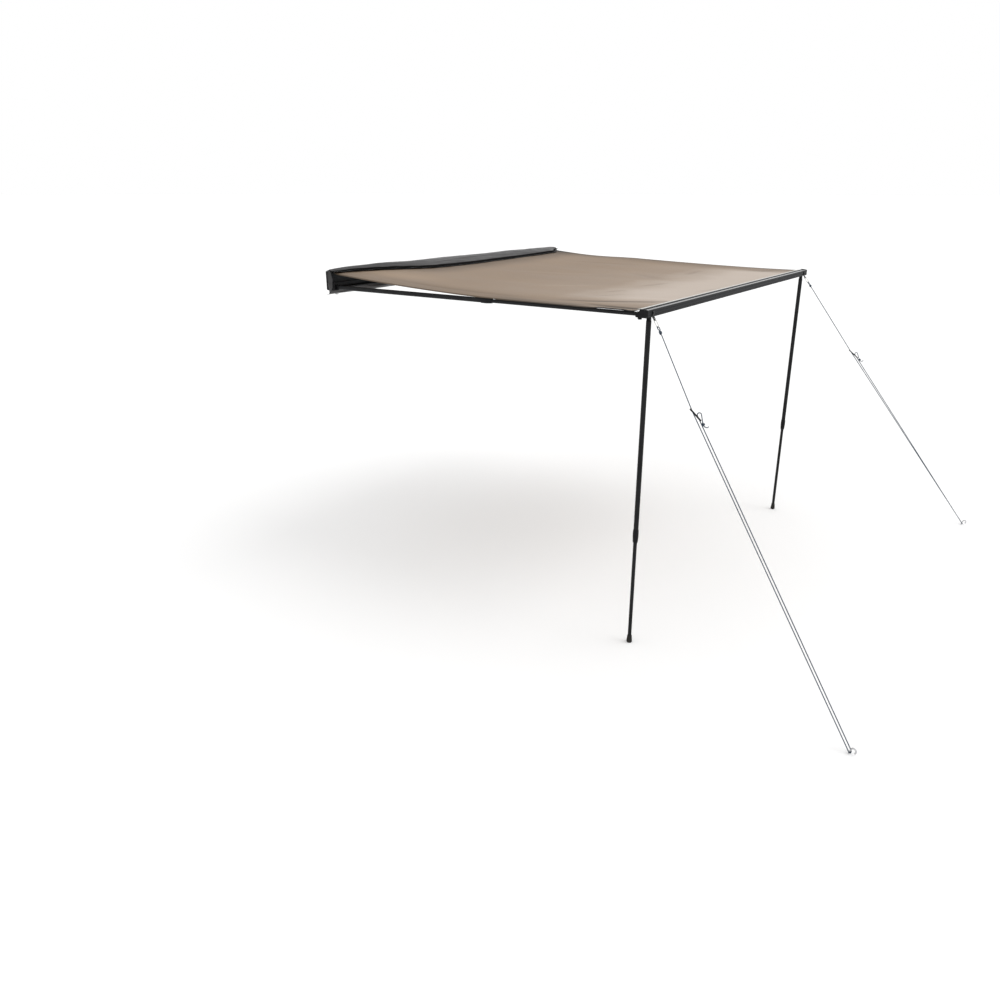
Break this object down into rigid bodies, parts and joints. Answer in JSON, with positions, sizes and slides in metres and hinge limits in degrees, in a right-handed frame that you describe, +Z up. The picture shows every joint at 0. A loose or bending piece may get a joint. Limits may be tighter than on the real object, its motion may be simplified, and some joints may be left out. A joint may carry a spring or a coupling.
{
  "type": "vehicle side awning",
  "caption": "Roof-rack side awning drawn open: bagged base rail, telescopic arms, front beam, two folding legs, taupe canopy and pegged guy ropes.",
  "frame": {"origin": "middle of the base rail's back face, halfway along and halfway up", "axes": "+X along the rail towards the vehicle's rear, -Y away from the vehicle, +Z up"},
  "size_m": [3.1694, 3.3248, 2.0038],
  "materials": {
    "anodised_dark": "dark grey anodised extrusion",
    "powder_black": "satin black powder coat",
    "moulded_black": "fine-grained moulded nylon",
    "rubber_black": "matt rubber",
    "steel": "zinc-plated steel",
    "canopy_taupe": "coated ripstop cloth",
    "hem_white": "woven tape",
    "bag_black": "glossy PVC-coated cloth",
    "rope_blue": "braided cord, blue with light flecks",
    "clip_pale": "pale moulded plastic"
  },
  "bodies": {
    "root": {"base_rail": "anodised_dark", "rear_keder": "hem_white", "bag_upper_keder": "bag_black", "bag_lower_keder": "bag_black", "canopy": "canopy_taupe", "bag_top_flap": "bag_black", "bag_lower_flap": "bag_black", "rail_end_cap_front": "moulded_black", "rail_end_cap_rear": "moulded_black", "mount_bracket_front": "powder_black", "mount_bracket_rear": "powder_black", "rafter_pivot_pin_front": "steel", "rafter_pivot_pin_rear": "steel", "bag_end_front": "bag_black", "bag_end_rear": "bag_black", "bracket_bolt_front_upper": "steel", "bracket_bolt_front_lower": "steel", "bracket_bolt_rear_upper": "steel", "bracket_bolt_rear_lower": "steel"},
    "beam": {"front_beam": "anodised_dark", "front_keder": "hem_white", "front_hem": "hem_white", "beam_end_cap_front": "moulded_black", "beam_end_cap_rear": "moulded_black", "leg_pivot_pin_front": "steel", "leg_pivot_pin_rear": "steel", "guy_eye_front": "powder_black", "guy_eye_rear": "powder_black", "guy_clip_front": "clip_pale", "guy_clip_rear": "clip_pale", "guy_line_front": "rope_blue", "guy_line_rear": "rope_blue", "guy_tensioner_front": "moulded_black", "guy_tensioner_rear": "moulded_black", "guy_peg_front": "steel", "guy_peg_rear": "steel"},
    "bag_zip": {"zip_slider": "steel"},
    "leg_front": {"leg_knuckle_front": "moulded_black", "leg_outer_front": "powder_black"},
    "leg_front_collar": {"leg_lock_front": "moulded_black"},
    "leg_front_lower": {"leg_inner_front": "powder_black", "leg_foot_front": "rubber_black"},
    "rafter_front": {"rafter_knuckle_front": "moulded_black", "rafter_outer_front": "powder_black"},
    "rafter_front_collar": {"rafter_lock_front": "moulded_black"},
    "rafter_front_inner": {"rafter_inner_front": "powder_black", "rafter_tip_front": "moulded_black"},
    "clamp_front": {"clamp_knob_front": "moulded_black"},
    "leg_rear": {"leg_knuckle_rear": "moulded_black", "leg_outer_rear": "powder_black"},
    "leg_rear_collar": {"leg_lock_rear": "moulded_black"},
    "leg_rear_lower": {"leg_inner_rear": "powder_black", "leg_foot_rear": "rubber_black"},
    "rafter_rear": {"rafter_knuckle_rear": "moulded_black", "rafter_outer_rear": "powder_black"},
    "rafter_rear_collar": {"rafter_lock_rear": "moulded_black"},
    "rafter_rear_inner": {"rafter_inner_rear": "powder_black", "rafter_tip_rear": "moulded_black"},
    "clamp_rear": {"clamp_knob_rear": "moulded_black"}
  },
  "joints": [
    {"name": "beam_slide", "type": "slide", "parent": "root", "child": "beam", "axis": [0, 1, 0], "range_m": [0, 0.78], "deforming": ["canopy"]},
    {"name": "zip_slide", "type": "slide", "parent": "root", "child": "bag_zip", "axis": [1, 0, 0], "range_m": [0, 0.3]},
    {"name": "rafter_front_swing", "type": "hinge", "parent": "root", "child": "rafter_front", "pos_m": [-1.222, -0.05, -0.038], "axis": [0, 0, 1], "range_deg": [0, 90]},
    {"name": "rafter_front_extension", "type": "slide", "parent": "rafter_front", "child": "rafter_front_inner", "axis": [0, 1, 0], "range_m": [0, 0.78]},
    {"name": "rafter_front_twist", "type": "hinge", "parent": "rafter_front", "child": "rafter_front_collar", "pos_m": [-1.222, -1.135, -0.038], "axis": [0, 1, 0], "range_deg": [0, 180]},
    {"name": "leg_front_fold", "type": "hinge", "parent": "beam", "child": "leg_front", "pos_m": [-1.19, -2.03, -0.0338], "axis": [0, -1, 0], "range_deg": [0, 90]},
    {"name": "leg_front_extension", "type": "slide", "parent": "leg_front", "child": "leg_front_lower", "axis": [0, 0, 1], "range_m": [-0.25, 0.53]},
    {"name": "leg_front_twist", "type": "hinge", "parent": "leg_front", "child": "leg_front_collar", "pos_m": [-1.19, -2.03, -1.1438], "axis": [0, 0, 1], "range_deg": [0, 180]},
    {"name": "clamp_front_turn", "type": "hinge", "parent": "beam", "child": "clamp_front", "pos_m": [-1.222, -1.999, -0.0496], "axis": [0, 0, 1], "range_deg": [0, 360]},
    {"name": "rafter_rear_swing", "type": "hinge", "parent": "root", "child": "rafter_rear", "pos_m": [1.222, -0.05, -0.038], "axis": [0, 0, -1], "range_deg": [0, 90]},
    {"name": "rafter_rear_extension", "type": "slide", "parent": "rafter_rear", "child": "rafter_rear_inner", "axis": [0, 1, 0], "range_m": [0, 0.78]},
    {"name": "rafter_rear_twist", "type": "hinge", "parent": "rafter_rear", "child": "rafter_rear_collar", "pos_m": [1.222, -1.135, -0.038], "axis": [0, 1, 0], "range_deg": [0, 180]},
    {"name": "leg_rear_fold", "type": "hinge", "parent": "beam", "child": "leg_rear", "pos_m": [1.19, -2.03, -0.0338], "axis": [0, 1, 0], "range_deg": [0, 90]},
    {"name": "leg_rear_extension", "type": "slide", "parent": "leg_rear", "child": "leg_rear_lower", "axis": [0, 0, 1], "range_m": [-0.25, 0.53]},
    {"name": "leg_rear_twist", "type": "hinge", "parent": "leg_rear", "child": "leg_rear_collar", "pos_m": [1.19, -2.03, -1.0978], "axis": [0, 0, 1], "range_deg": [0, 180]},
    {"name": "clamp_rear_turn", "type": "hinge", "parent": "beam", "child": "clamp_rear", "pos_m": [1.222, -1.999, -0.0496], "axis": [0, 0, 1], "range_deg": [0, 360]}
  ],
  "couplings": [
    {"joint": "rafter_front_extension", "follows": "beam_slide", "ratio": 1},
    {"joint": "rafter_rear_extension", "follows": "beam_slide", "ratio": 1}
  ]
}
